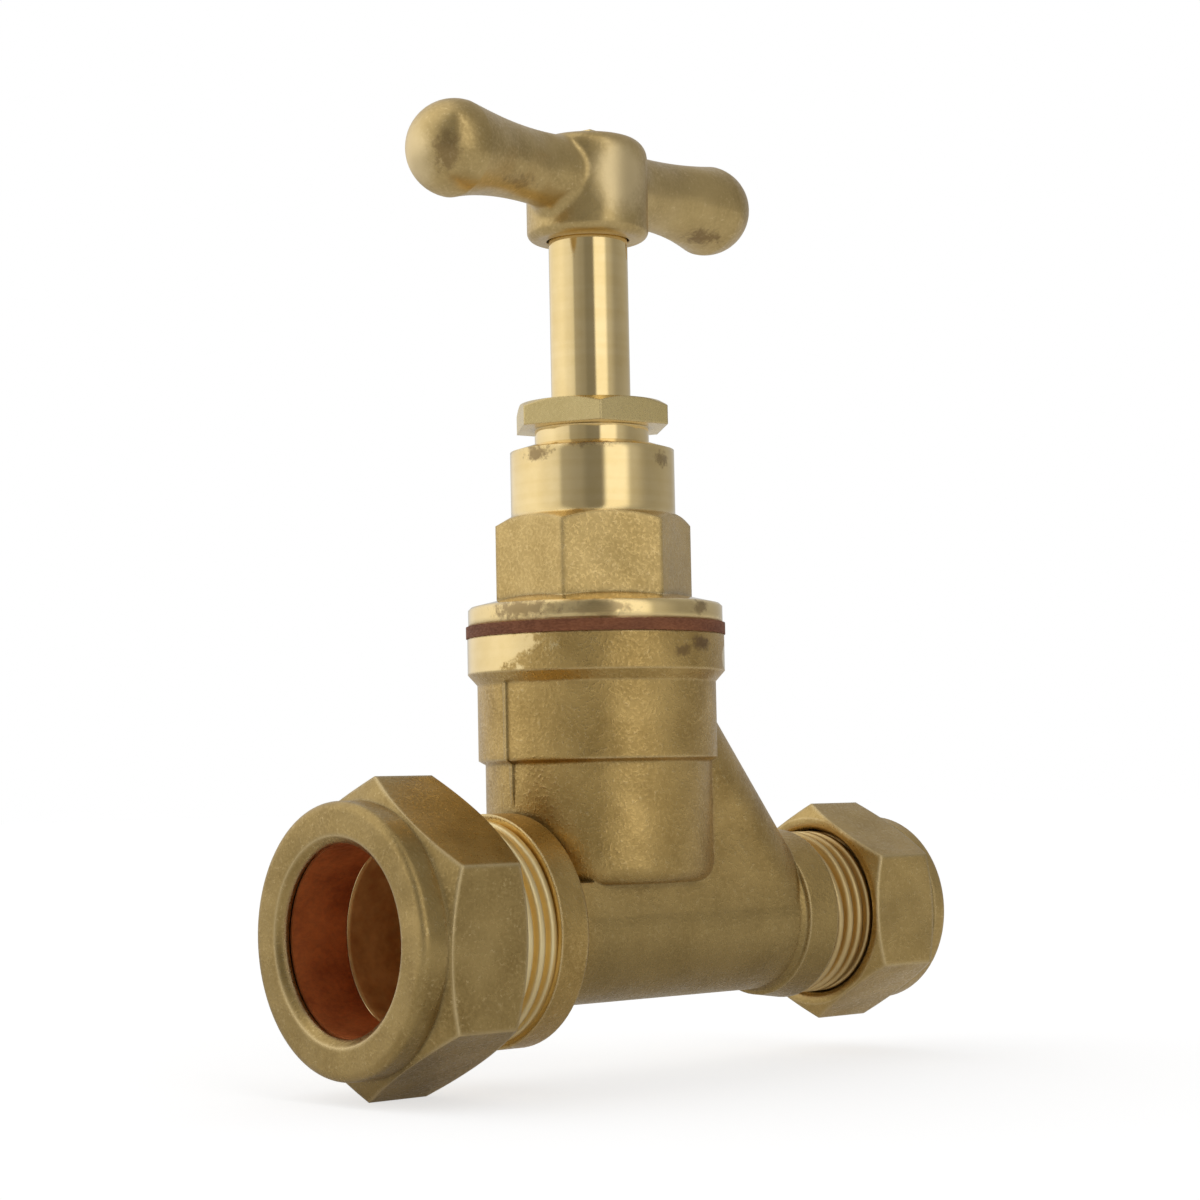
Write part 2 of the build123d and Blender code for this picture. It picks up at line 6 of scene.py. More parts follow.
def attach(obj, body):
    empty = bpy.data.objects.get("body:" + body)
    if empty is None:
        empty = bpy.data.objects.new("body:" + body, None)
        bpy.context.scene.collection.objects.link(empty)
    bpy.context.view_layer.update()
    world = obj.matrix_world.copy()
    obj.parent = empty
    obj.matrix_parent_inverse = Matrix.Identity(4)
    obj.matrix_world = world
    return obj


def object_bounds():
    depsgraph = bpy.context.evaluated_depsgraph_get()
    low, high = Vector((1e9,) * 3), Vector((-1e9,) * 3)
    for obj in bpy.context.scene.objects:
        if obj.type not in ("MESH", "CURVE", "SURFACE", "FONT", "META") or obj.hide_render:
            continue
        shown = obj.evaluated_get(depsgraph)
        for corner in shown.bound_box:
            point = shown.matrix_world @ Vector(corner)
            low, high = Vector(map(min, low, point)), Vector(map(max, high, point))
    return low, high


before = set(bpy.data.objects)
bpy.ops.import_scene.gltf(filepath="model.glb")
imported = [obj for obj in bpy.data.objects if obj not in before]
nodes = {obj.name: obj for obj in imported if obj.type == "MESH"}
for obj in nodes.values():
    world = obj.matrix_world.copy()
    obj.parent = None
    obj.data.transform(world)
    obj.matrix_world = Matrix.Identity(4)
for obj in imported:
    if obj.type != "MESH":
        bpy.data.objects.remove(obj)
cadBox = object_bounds()
print("frame loaded:", len(nodes), "solids")

# places and lengths are in mm, as on the drawing, a name that ends in M is in metres, and colours are linear
mm = 0.001


def inMetres(place):
    return [value * mm for value in place]


# a socket takes another node's output as a link, and anything else as its constant
def feed(tree, socket, value):
    if isinstance(value, bpy.types.NodeSocket):
        tree.links.new(value, socket)
    else:
        socket.default_value = value


# a node with its settings and its inputs in one call
def addNode(tree, kind, inputs=None, **settings):
    node = tree.nodes.new(kind)
    for key, value in settings.items():
        setattr(node, key, value)
    for key, value in (inputs or {}).items():
        feed(tree, node.inputs[key], value)
    return node


def mathNode(tree, operation, first, second=0.0, third=0.0, clamp=False):
    return addNode(tree, "ShaderNodeMath", {0: first, 1: second, 2: third}, operation=operation,
                   use_clamp=clamp).outputs[0]


def product(tree, first, second):
    return mathNode(tree, "MULTIPLY", first, second)


def larger(tree, first, second):
    return mathNode(tree, "MAXIMUM", first, second)


def vectorNode(tree, operation, first, second=(0.0, 0.0, 0.0)):
    return addNode(tree, "ShaderNodeVectorMath", {0: first, 1: second}, operation=operation).outputs


def smoothRange(tree, value, ends):  # smooth step from 0 at the first end to 1 at the second
    return addNode(tree, "ShaderNodeMapRange", {"Value": value, "From Min": ends[0], "From Max": ends[1]},
                   interpolation_type="SMOOTHSTEP").outputs[0]


def noise(tree, place, scale, detail, roughness):
    return addNode(tree, "ShaderNodeTexNoise", {"Vector": place, "Scale": scale, "Detail": detail,
                                                "Roughness": roughness}).outputs[0]


def lineNoise(tree, along, detail):
    return addNode(tree, "ShaderNodeTexNoise", {"W": along, "Scale": 1.0, "Detail": detail},
                   noise_dimensions="1D").outputs[0]


mixSockets = {"RGBA": (6, 7, 2), "FLOAT": (2, 3, 0)}  # first input, second input and output of a Mix node


def mixNode(tree, dataType, share, first, second):
    node = addNode(tree, "ShaderNodeMix", data_type=dataType)
    atFirst, atSecond, result = mixSockets[dataType]
    for at, value in ((0, share), (atFirst, first), (atSecond, second)):
        feed(tree, node.inputs[at], (*value, 1.0) if isinstance(value, tuple) else value)
    return node.outputs[result]


def mixColour(tree, share, first, second):
    return mixNode(tree, "RGBA", share, first, second)


def mixValue(tree, share, first, second):
    return mixNode(tree, "FLOAT", share, first, second)


# an empty effect group: inputs are titles with their usual values, outputs are titles, some of them normals
def newGroup(name, inputs, outputs, normals=()):
    tree = bpy.data.node_groups.new(name, "ShaderNodeTree")
    for title, value in inputs.items():
        kind = "NodeSocketVector" if isinstance(value, tuple) else "NodeSocketFloat"
        tree.interface.new_socket(title, in_out="INPUT", socket_type=kind).default_value = value
    for title in outputs:
        kind = "NodeSocketVector" if title in normals else "NodeSocketFloat"
        tree.interface.new_socket(title, in_out="OUTPUT", socket_type=kind)
    return tree, tree.nodes.new("NodeGroupInput").outputs, tree.nodes.new("NodeGroupOutput").inputs


def useGroup(tree, group, **values):
    return addNode(tree, "ShaderNodeGroup", values, node_tree=group).outputs


sandSkinSpec = {
    "fineDetail": (3.0, 0.65), "patchDetail": (4.0, 0.6),             # octaves and how rough they are
    "lumpDetail": (2.0, 0.5), "waveDetail": (1.0, 0.5),
    "lumpScale": 900.0, "patchScale": 160.0, "waveScale": 110.0,      # features a metre
    "lumpShare": 0.35,                                                # of the lumps in the skin's height
    "speck": (0.36, 0.66), "fleck": (0.54, 0.70), "gathered": (0.42, 0.68), "patch": (0.20, 0.80),
}


# sand-blasted skin: fine pits, coarser lumps that gather bright flecks, slow patches of tarnish, and the
# slow wave of a face that was never cut
def makeSandSkin(spec):
    tree, given, out = newGroup("sandSkin", {"Place": (0.0, 0.0, 0.0), "Grain": 2600.0},
                                ["Height", "Speck", "Fleck", "Patch", "Wave"])
    fine = noise(tree, given["Place"], given["Grain"], *spec["fineDetail"])
    lumps = noise(tree, given["Place"], spec["lumpScale"], *spec["lumpDetail"])
    patch = noise(tree, given["Place"], spec["patchScale"], *spec["patchDetail"])
    gathered = smoothRange(tree, lumps, spec["gathered"])
    feed(tree, out["Height"], mixValue(tree, spec["lumpShare"], fine, lumps))
    feed(tree, out["Speck"], smoothRange(tree, fine, spec["speck"]))
    feed(tree, out["Fleck"], product(tree, smoothRange(tree, fine, spec["fleck"]), gathered))
    feed(tree, out["Patch"], smoothRange(tree, patch, spec["patch"]))
    feed(tree, out["Wave"], noise(tree, given["Place"], spec["waveScale"], *spec["waveDetail"]))
    return tree


latheMarksSpec = {
    "bandLines": 700.0,                               # broad bands a metre, where the cut changed
    "bandDetail": 1.0, "ringDetail": 2.0,
    "filmScale": 210.0, "filmDetail": (4.0, 0.62),    # thin film of tarnish over the rings
    "streak": (0.35, 0.65), "film": (0.30, 0.70),
}


# lathe marks: fine rings along one axis, broader bands, and a film that breaks them up
def makeLatheMarks(spec):
    tree, given, out = newGroup("latheMarks", {"Place": (0.0, 0.0, 0.0), "Along": 0.0, "Lines": 9000.0},
                                ["Height", "Streak", "Film"])
    bands = lineNoise(tree, product(tree, given["Along"], spec["bandLines"]), spec["bandDetail"])
    rings = lineNoise(tree, product(tree, given["Along"], given["Lines"]), spec["ringDetail"])
    film = noise(tree, given["Place"], spec["filmScale"], *spec["filmDetail"])
    feed(tree, out["Height"], rings)
    feed(tree, out["Streak"], smoothRange(tree, bands, spec["streak"]))
    feed(tree, out["Film"], smoothRange(tree, film, spec["film"]))
    return tree


edgeWearSpec = {
    "bend": (0.995, 0.93),      # cosine between the true and the rounded normal: none to full wear
    "open": (0.86, 0.97),       # openness of a place: none to full wear
    "hollow": (0.88, 0.45),     # openness of a place: none to full grime and painted shade
    "samples": 6,
}


# edge wear: a normal rounded over the edges, a mask of the outer edges and one of the hollows
def makeEdgeWear(spec):
    tree, given, out = newGroup("edgeWear", {"Radius": 0.0005, "Reach": 0.0016},
                                ["Rounded", "Outer", "Hollow"], normals=["Rounded"])
    rounded = addNode(tree, "ShaderNodeBevel", {"Radius": given["Radius"]},
                      samples=spec["samples"]).outputs[0]
    facing = tree.nodes.new("ShaderNodeNewGeometry").outputs["Normal"]
    bend = vectorNode(tree, "DOT_PRODUCT", rounded, facing)["Value"]
    openness = addNode(tree, "ShaderNodeAmbientOcclusion", {"Distance": given["Reach"]},
                       samples=spec["samples"], only_local=True).outputs["AO"]
    outer = product(tree, smoothRange(tree, bend, spec["bend"]), smoothRange(tree, openness, spec["open"]))
    feed(tree, out["Rounded"], rounded)
    feed(tree, out["Outer"], outer)
    feed(tree, out["Hollow"], smoothRange(tree, openness, spec["hollow"]))
    return tree


raggedOvalSpec = {"detail": (5.0, 0.7), "middle": 0.5, "fall": -1.1, "start": 0.9, "cover": (0.0, 0.6)}


# a ragged oval: specks that thin out from its centre to its reach, for rubs, bared metal, stains, painted
# highlights and painted shade
def makeRaggedOval(spec):
    tree, given, out = newGroup("raggedOval", {"Place": (0.0, 0.0, 0.0), "Centre": (0.0, 0.0, 0.0),
                                            "Reach": (0.003, 0.003, 0.003), "Ragged": 1100.0, "Broken": 2.0},
                                ["Mark"])
    away = vectorNode(tree, "SUBTRACT", given["Place"], given["Centre"])[0]
    far = vectorNode(tree, "LENGTH", vectorNode(tree, "DIVIDE", away, given["Reach"])[0])["Value"]
    specks = noise(tree, given["Place"], given["Ragged"], *spec["detail"])
    spread = product(tree, mathNode(tree, "SUBTRACT", specks, spec["middle"]), given["Broken"])
    cover = mathNode(tree, "ADD", spread, mathNode(tree, "MULTIPLY_ADD", far, spec["fall"], spec["start"]))
    feed(tree, out["Mark"], smoothRange(tree, cover, spec["cover"]))
    return tree


# 1 between low and high along one coordinate, soft at both ends
def makeAxisBand():
    tree, given, out = newGroup("axisBand", {"Along": 0.0, "Low": 0.0, "High": 1.0, "Soft": 0.0002}, ["Mask"])
    above = mathNode(tree, "SUBTRACT", given["Along"], given["Low"])
    below = mathNode(tree, "SUBTRACT", given["High"], given["Along"])
    rise, fall = [mathNode(tree, "DIVIDE", side, given["Soft"], clamp=True) for side in (above, below)]
    feed(tree, out["Mask"], product(tree, rise, fall))
    return tree


sandSkin = makeSandSkin(sandSkinSpec)
latheMarks = makeLatheMarks(latheMarksSpec)
edgeWear = makeEdgeWear(edgeWearSpec)
raggedOval = makeRaggedOval(raggedOvalSpec)
axisBand = makeAxisBand()
print("effect groups made")


def startMaterial(name):
    material = bpy.data.materials.new(name)
    material.use_nodes = True
    tree = material.node_tree
    tree.nodes.clear()
    shader = tree.nodes.new("ShaderNodeBsdfPrincipled")
    output = tree.nodes.new("ShaderNodeOutputMaterial")
    tree.links.new(shader.outputs[0], output.inputs[0])
    place = tree.nodes.new("ShaderNodeTexCoord").outputs["Object"]
    return material, tree, shader, place


def axesOf(tree, place):
    return addNode(tree, "ShaderNodeSeparateXYZ", {0: place}).outputs


def ovalMark(tree, place, centre, reach, **kind):
    return useGroup(tree, raggedOval, Place=place, Centre=inMetres(centre), Reach=inMetres(reach),
                    **kind)["Mark"]


def bumpNode(tree, strength, depthM, height, normal):
    return addNode(tree, "ShaderNodeBump", {"Strength": strength, "Distance": depthM, "Height": height,
                                            "Normal": normal}).outputs[0]


turnedBrass = {
    "lathe": "Z",                                     # axis that the rings follow
    "dark": (0.850, 0.640, 0.290), "light": (0.930, 0.725, 0.370), "rough": (0.05, 0.10),
    "lines": 9000.0, "lineDepthM": 0.000002,          # rings a metre and their depth
    "streakShare": 0.3,                               # of the broad bands in the colour
    "bevelM": 0.0005,
}


# colour, roughness and ring height of turned brass
def turnedCoat(tree, place, axes, look):
    along = axes["XYZ".index(look["lathe"])]
    rings = useGroup(tree, latheMarks, Place=place, Along=along, Lines=look["lines"])
    amount = mixValue(tree, look["streakShare"], rings["Film"], rings["Streak"])
    colour = mixColour(tree, amount, look["dark"], look["light"])
    rough = mixValue(tree, rings["Film"], look["rough"][1], look["rough"][0])
    return colour, rough, rings["Height"]


# brass that is turned all over
def turnedMaterial(name, look):
    material, tree, shader, place = startMaterial(name)
    colour, rough, rings = turnedCoat(tree, place, axesOf(tree, place), look)
    rounded = useGroup(tree, edgeWear, Radius=look["bevelM"])["Rounded"]
    shader.inputs["Metallic"].default_value = 1.0
    feed(tree, shader.inputs["Base Color"], colour)
    feed(tree, shader.inputs["Roughness"], rough)
    feed(tree, shader.inputs["Normal"], bumpNode(tree, 1.0, look["lineDepthM"], rings, rounded))
    return material


stampedBrass = {
    "dark": (0.380, 0.244, 0.076), "light": (0.630, 0.431, 0.157), "rough": (0.24, 0.40),
    "speckShare": 0.45, "fleckShare": 0.40,           # of the pale specks and bright flecks in the colour
    "grain": 2500.0, "grainDepthM": 0.00011, "waveM": 0.0005,
    "bevelM": 0.0005,
    # colour and roughness of worn edges, bright flecks, rubs and painted highlights
    "wornAndHighlight": (0.760, 0.590, 0.310), "wornAndHighlightRough": 0.28, "wear": 0.75,
    # colour of grime and painted shade in the hollows, and how much of it
    "grimeAndShade": (0.150, 0.117, 0.064), "grimeAndShadeShare": 0.6,
    "rubsAndHighlights": [],           # rubbed places and painted highlights: centre, reach, strength
    "rubRagged": 350.0, "rubBroken": 0.6,
    "turned": turnedBrass,
    "turnedBands": [],    # what the lathe reached: axis, low, high
    "stainsAndShade": [],          # dark specks, stains and painted shade: centre, reach, strength
    "stainAndShadeColour": (0.190, 0.112, 0.050), "stainAndShadeRough": 0.45,
    "shadedBelow": None, "bared": None, "litBore": None,
}


# painted shade: the skin goes darker from the first height down to the second, and from the first place along
# the pipe to the second
def shadedBelowSkin(tree, axes, shadedBelow, colour):
    share = product(tree, smoothRange(tree, axes[2], inMetres(shadedBelow["heights"])), shadedBelow["share"])
    share = product(tree, share, smoothRange(tree, axes[0], inMetres(shadedBelow["along"])))
    return mixColour(tree, share, colour, shadedBelow["colour"])


# the lathe only skimmed the collar, and bared it in a few ragged ovals
def baredBand(tree, place, bared, band):
    bare = 0.0
    for centre, reach in bared["ovals"]:
        oval = ovalMark(tree, place, centre, reach, Ragged=bared["ragged"], Broken=bared["broken"])
        bare = larger(tree, bare, oval)
    return product(tree, band, smoothRange(tree, bare, bared["cover"]))


# mask of the inlet socket and of the waterway, by the distance from the pipe's axis
def boredInside(tree, axes, litBore):
    fromAxis = mathNode(tree, "SQRT", mathNode(tree, "MULTIPLY_ADD", axes[1], axes[1],
                                               product(tree, axes[2], axes[2])))
    inSocket = product(tree, mathNode(tree, "LESS_THAN", fromAxis, litBore["socketR"] * mm),
                       mathNode(tree, "LESS_THAN", axes[0], litBore["socketEnd"] * mm))
    return larger(tree, inSocket, mathNode(tree, "LESS_THAN", fromAxis, litBore["waterwayR"] * mm))


# stamped brass: the sand skin, bright where edges wear it and where rubs and painted highlights lie, darkened
# in its hollows by grime and painted shade, turned in its bands
def stampedMaterial(name, look):
    material, tree, shader, place = startMaterial(name)
    axes = axesOf(tree, place)
    shader.inputs["Metallic"].default_value = 1.0
    skin = useGroup(tree, sandSkin, Place=place, Grain=look["grain"])
    edges = useGroup(tree, edgeWear, Radius=look["bevelM"])

    colour = mixColour(tree, skin["Patch"], look["dark"], look["light"])
    colour = mixColour(tree, product(tree, skin["Speck"], look["speckShare"]), colour, look["light"])
    colour = mixColour(tree, product(tree, skin["Fleck"], look["fleckShare"]), colour, look["wornAndHighlight"])
    rough = mixValue(tree, skin["Speck"], look["rough"][1], look["rough"][0])
    # painted shade, darker low on the body
    if look["shadedBelow"]:
        colour = shadedBelowSkin(tree, axes, look["shadedBelow"], colour)

    wornAndHighlight = product(tree, edges["Outer"], look["wear"])
    # rubs and painted highlights brighten the skin as the worn edges do
    for centre, reach, strength in look["rubsAndHighlights"]:
        rubAndHighlight = ovalMark(tree, place, centre, reach, Ragged=look["rubRagged"], Broken=look["rubBroken"])
        wornAndHighlight = larger(tree, wornAndHighlight, product(tree, rubAndHighlight, strength))
    colour = mixColour(tree, wornAndHighlight, colour, look["wornAndHighlight"])
    # grime and painted shade darken the hollows
    colour = mixColour(tree, product(tree, edges["Hollow"], look["grimeAndShadeShare"]), colour, look["grimeAndShade"])
    rough = mixValue(tree, wornAndHighlight, rough, look["wornAndHighlightRough"])

    turnedMask = None
    for axis, low, high in look["turnedBands"]:
        band = useGroup(tree, axisBand, Along=axes["XYZ".index(axis)], Low=low * mm, High=high * mm)["Mask"]
        if look["bared"] and axis == look["bared"]["axis"]:
            band = baredBand(tree, place, look["bared"], band)
        turnedMask = band if turnedMask is None else larger(tree, turnedMask, band)
    pits = 1.0
    if turnedMask is not None:
        pits = mathNode(tree, "SUBTRACT", 1.0, turnedMask)
        turnedColour, turnedRough, rings = turnedCoat(tree, place, axes, look["turned"])
        colour = mixColour(tree, turnedMask, colour, turnedColour)
        rough = mixValue(tree, turnedMask, rough, turnedRough)

    # dark specks: stains, and on the handle painted shade
    for centre, reach, strength in look["stainsAndShade"]:
        stainAndShadeMask = product(tree, ovalMark(tree, place, centre, reach), strength)
        colour = mixColour(tree, stainAndShadeMask, colour, look["stainAndShadeColour"])
        rough = mixValue(tree, stainAndShadeMask, rough, look["stainAndShadeRough"])
    # the socket and waterway get a paler, part diffuse bored finish: painted light inside them
    if look["litBore"]:
        litBore = look["litBore"]
        inside = boredInside(tree, axes, litBore)
        film = useGroup(tree, latheMarks, Place=place)["Film"]
        colour = mixColour(tree, inside, colour, mixColour(tree, film, litBore["dark"], litBore["light"]))
        rough = mixValue(tree, inside, rough, litBore["rough"])
        feed(tree, shader.inputs["Metallic"], mixValue(tree, inside, 1.0, litBore["metallic"]))

    normal = bumpNode(tree, pits, look["waveM"], skin["Wave"], edges["Rounded"])
    normal = bumpNode(tree, pits, look["grainDepthM"], skin["Height"], normal)
    if turnedMask is not None:
        normal = bumpNode(tree, turnedMask, look["turned"]["lineDepthM"], rings, normal)
    feed(tree, shader.inputs["Base Color"], colour)
    feed(tree, shader.inputs["Roughness"], rough)
    feed(tree, shader.inputs["Normal"], normal)
    return material


grainStrength = 0.8    # of the bump under a plain finish


# plain finish with patches and grain for copper, fibre, packing and rubber
def grainMaterial(name, look):
    material, tree, shader, place = startMaterial(name)
    stretched = addNode(tree, "ShaderNodeMapping", {"Vector": place, "Scale": look["stretch"]}).outputs[0]
    skin = useGroup(tree, sandSkin, Place=stretched, Grain=look["grain"])
    amount = mixValue(tree, look["speckShare"], skin["Patch"], skin["Speck"])
    bump = addNode(tree, "ShaderNodeBump", {"Strength": grainStrength, "Distance": look["grainDepthM"],
                                            "Height": skin["Height"]}).outputs[0]
    shader.inputs["Metallic"].default_value = look["metallic"]
    feed(tree, shader.inputs["Base Color"], mixColour(tree, amount, look["dark"], look["light"]))
    feed(tree, shader.inputs["Roughness"], mixValue(tree, skin["Speck"], look["rough"][1], look["rough"][0]))
    feed(tree, shader.inputs["Normal"], bump)
    return material


def dress(material, *pieceNames):
    for pieceName in pieceNames:
        slots = nodes[pieceName].data.materials
        slots.clear()
        slots.append(material)
    print("dressed:", ", ".join(pieceNames))


bodyFinish = {
    **stampedBrass,
    "turnedBands": [("Z", 30.9, 36.0), ("X", -16.5, -3.5), ("X", 46.4, 58.0)],
    "bared": {
        "axis": "Z",
        "ovals": [((1.0, 4.0, 36.5), (18.0, 18.0, 13.0)), ((25.6, -11.6, 32.2), (4.5, 4.5, 3.0))],
        "ragged": 420.0, "broken": 0.9, "cover": (0.30, 0.62),
    },
    # painted shade: darker towards the bottom of the run and towards the outlet
    "shadedBelow": {"heights": (13.0, -5.0), "along": (1.0, 8.0), "share": 0.55, "colour": (0.270, 0.200, 0.084)},
    # bored finish painted paler than the skin, as painted light in the socket and waterway
    "litBore": {
        "socketR": 11.3, "socketEnd": 0.2, "waterwayR": 8.4,
        "dark": (0.600, 0.315, 0.088), "light": (0.900, 0.600, 0.215), "rough": 0.5, "metallic": 0.55,
    },
    "stainsAndShade": [((18.1, -15.6, 33.9), (2.8, 2.4, 1.5), 0.85), ((14.8, -15.9, 32.9), (2.2, 2.2, 1.1), 0.7)],
}
dress(stampedMaterial("stampedBody", bodyFinish), "body")

handleFinish = {
    **stampedBrass,
    "dark": (0.450, 0.318, 0.126), "light": (0.650, 0.478, 0.208), "rough": (0.28, 0.40),
    "wornAndHighlight": (0.860, 0.680, 0.370), "wornAndHighlightRough": 0.42, "wear": 0.3,
    "grainDepthM": 0.000025, "waveM": 0.0012,
    # painted highlights on rubbed places: the right of the hub, the top of the left arm and the rim of the
    # left lobe
    "rubsAndHighlights": [((14.2, -7.6, 92.0), (6.5, 6.5, 7.0), 0.9), ((-12.0, -1.5, 99.0), (9.0, 6.0, 4.0), 0.6),
             ((-15.0, -3.0, 90.5), (3.6, 5.0, 8.0), 0.9)],
    # painted shade on the side of the left lobe, and darker patches under the right lobe and under the left
    # arm by the hub
    "stainsAndShade": [((-13.6, -7.6, 91.0), (2.2, 3.2, 3.8), 0.5), ((36.5, 1.5, 88.4), (4.5, 3.0, 1.6), 0.6),
              ((0.0, -6.8, 89.2), (6.0, 3.0, 1.8), 0.45)],
}
dress(stampedMaterial("stampedHandle", handleFinish), "crutch_handle")

inletNutFinish = {
    **stampedBrass,
    "dark": (0.305, 0.203, 0.069), "light": (0.475, 0.335, 0.130), "rough": (0.26, 0.42),
    "grainDepthM": 0.00006, "waveM": 0.0007, "bevelM": 0.0008, "wear": 0.9,
}
outletNutFinish = {**inletNutFinish, "dark": (0.415, 0.280, 0.096), "light": (0.590, 0.415, 0.160)}
dress(stampedMaterial("stampedNut", inletNutFinish), "inlet_nut")
dress(stampedMaterial("stampedSmallNut", outletNutFinish), "outlet_nut")

bonnetFinish = {
    **stampedBrass,
    "dark": (0.490, 0.335, 0.118), "light": (0.720, 0.515, 0.210),
    "grainDepthM": 0.00005, "bevelM": 0.0011, "wear": 0.2,
    "turnedBands": [("Z", 20.0, 40.1), ("Z", 50.1, 61.0)],
    "stainsAndShade": [((4.9, -1.4, 57.6), (2.2, 3.2, 1.4), 0.7), ((8.2, -7.5, 58.5), (4.2, 4.2, 0.9), 0.6),
              ((17.6, -9.9, 56.8), (2.4, 1.8, 1.4), 0.6), ((-0.2, -4.0, 38.2), (5.0, 7.5, 1.8), 0.65),
              ((18.1, -15.4, 38.2), (2.8, 2.2, 1.3), 0.65), ((5.5, -12.3, 38.0), (5.0, 5.0, 1.8), 0.45)],
}
dress(stampedMaterial("bonnetMetal", bonnetFinish), "bonnet")

glandFinish = {
    **stampedBrass,
    "dark": (0.725, 0.560, 0.240), "light": (0.810, 0.640, 0.298), "rough": (0.24, 0.34),
    "grainDepthM": 0.000012, "waveM": 0.0002, "bevelM": 0.0003, "wear": 0.5,
    "turnedBands": [("Z", 48.0, 61.3)],
}
dress(stampedMaterial("glandMetal", glandFinish), "gland_nut", "jumper_nut")

dress(turnedMaterial("spindleMetal", turnedBrass), "spindle", "jumper")

oliveFinish = {
    "dark": (0.330, 0.070, 0.016), "light": (0.860, 0.290, 0.080), "rough": (0.42, 0.60), "metallic": 0.5,
    "speckShare": 0.2, "grain": 1500.0, "grainDepthM": 0.00003, "stretch": (0.8, 1.0, 1.0),
}
dress(grainMaterial("copperRing", oliveFinish), "inlet_olive", "outlet_olive")

bonnetWasherFinish = {
    "dark": (0.130, 0.036, 0.010), "light": (0.320, 0.110, 0.038), "rough": (0.62, 0.80), "metallic": 0.0,
    "speckShare": 0.45, "grain": 2200.0, "grainDepthM": 0.00008, "stretch": (1.0, 1.0, 2.5),
}
dress(grainMaterial("fibreRing", bonnetWasherFinish), "bonnet_washer")

packingFinish = {
    "dark": (0.030, 0.026, 0.020), "light": (0.110, 0.095, 0.070), "rough": (0.60, 0.85), "metallic": 0.0,
    "speckShare": 0.45, "grain": 1800.0, "grainDepthM": 0.0001, "stretch": (1.0, 1.0, 1.0),
}
dress(grainMaterial("greasedPacking", packingFinish), "gland_packing")

jumperWasherFinish = {
    "dark": (0.012, 0.012, 0.012), "light": (0.035, 0.035, 0.034), "rough": (0.55, 0.75), "metallic": 0.0,
    "speckShare": 0.45, "grain": 2400.0, "grainDepthM": 0.00003, "stretch": (1.0, 1.0, 1.0),
}
dress(grainMaterial("valveRubber", jumperWasherFinish), "jumper_washer")

ridgeShape = {
    "stepsPerTurn": 96, "stepsAcross": 21,
    "steepness": 2.0, "rootWidth": 0.15,    # the cosine is scaled up, lowered by this and clipped flat
    "sunk": 0.06,                           # how far its roots lie under the plain cylinder
}
inletThread = {
    "start": -14.98, "end": -1.8, "rootR": 12.06, "crestR": 13.22, "pitch": 1.814,
    "fade": 0.5,                            # turns over which each end runs out
    "metalName": "inletThreadMetal",
    "metal": {**turnedBrass, "lathe": "X", "dark": (0.925, 0.735, 0.375), "light": (0.990, 0.825, 0.465),
              "rough": (0.38, 0.50)},
}
outletThread = {
    "start": 45.2, "end": 57.0, "rootR": 9.32, "crestR": 10.48, "pitch": 1.814,
    "fade": 0.5,
    "metalName": "outletThreadShadedMetal",
    # a darker copy of the thread brass: painted shade where the nut shadows the outlet thread
    "metal": {**turnedBrass, "lathe": "X", "dark": (0.690, 0.505, 0.225), "light": (0.800, 0.610, 0.300),
              "rough": (0.34, 0.46)},
}


# thread ridge: a rounded V carried along a helix about the pipe's axis. Across the ridge u goes from one root
# to the next, and its height is the root radius plus the depth times a flattened cosine of u. Along it the
# angle moves x on by one pitch a turn, and the depth fades out over the first and last part of a turn
def threadRidge(name, thread):
    turns = (thread["end"] - thread["start"]) / thread["pitch"] - 1.0
    angle = np.linspace(0.0, 2 * np.pi * turns, int(turns * ridgeShape["stepsPerTurn"]) + 1)[:, None]
    across = np.linspace(-0.5, 0.5, ridgeShape["stepsAcross"])[None, :]
    fade = np.clip(np.minimum(angle, angle[-1] - angle) / (2 * np.pi * thread["fade"]), 0.0, 1.0)
    swell = 0.5 + 0.5 * np.cos(2 * np.pi * across)
    crest = np.clip(ridgeShape["steepness"] * swell - ridgeShape["rootWidth"], 0.0, 1.0)
    foot = thread["rootR"] - ridgeShape["sunk"]
    radius = foot + (thread["crestR"] - foot) * crest * fade
    x = thread["start"] + thread["pitch"] * (angle / (2 * np.pi) + 0.5 + across)
    grid = np.stack([x, radius * np.cos(angle), radius * np.sin(angle)], axis=-1) * mm
    rows, columns = grid.shape[:2]
    index = np.arange(rows * columns).reshape(rows, columns)
    corners = [index[:-1, :-1], index[1:, :-1], index[1:, 1:], index[:-1, 1:]]
    quads = np.stack(corners, axis=-1).reshape(-1, 4)
    mesh = bpy.data.meshes.new(name)
    mesh.from_pydata(grid.reshape(-1, 3).tolist(), [], quads.tolist())
    mesh.polygons.foreach_set("use_smooth", np.ones(len(quads), bool))
    mesh.materials.append(turnedMaterial(thread["metalName"], thread["metal"]))
    piece = bpy.data.objects.new(name, mesh)
    bpy.context.scene.collection.objects.link(piece)
    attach(piece, "valve_body")


threadRidge("inlet_thread", inletThread)
threadRidge("outlet_thread", outletThread)
print("thread ridges cut")

studioWall = {
    "azimuthStops": [    # degrees round the part, brightness of the wall there
        (-180, 0.70), (-175, 0.37), (-150, 0.29), (-138, 0.21), (-118, 0.22), (-112, 1.06), (-86, 1.06),
        (-76, 0.50), (-48, 0.30), (5, 0.37), (50, 0.52), (84, 0.84), (140, 0.94), (165, 0.80), (180, 0.70)],
    "heightStops": [(-1.0, 0.6), (-0.12, 0.8), (0.10, 1.0), (0.55, 1.0), (1.0, 1.1)],    # sine of the height
    "strength": 1.08,
    "paper": (1.0, 1.0, 1.0, 1.0),    # what the camera sees behind the part
}


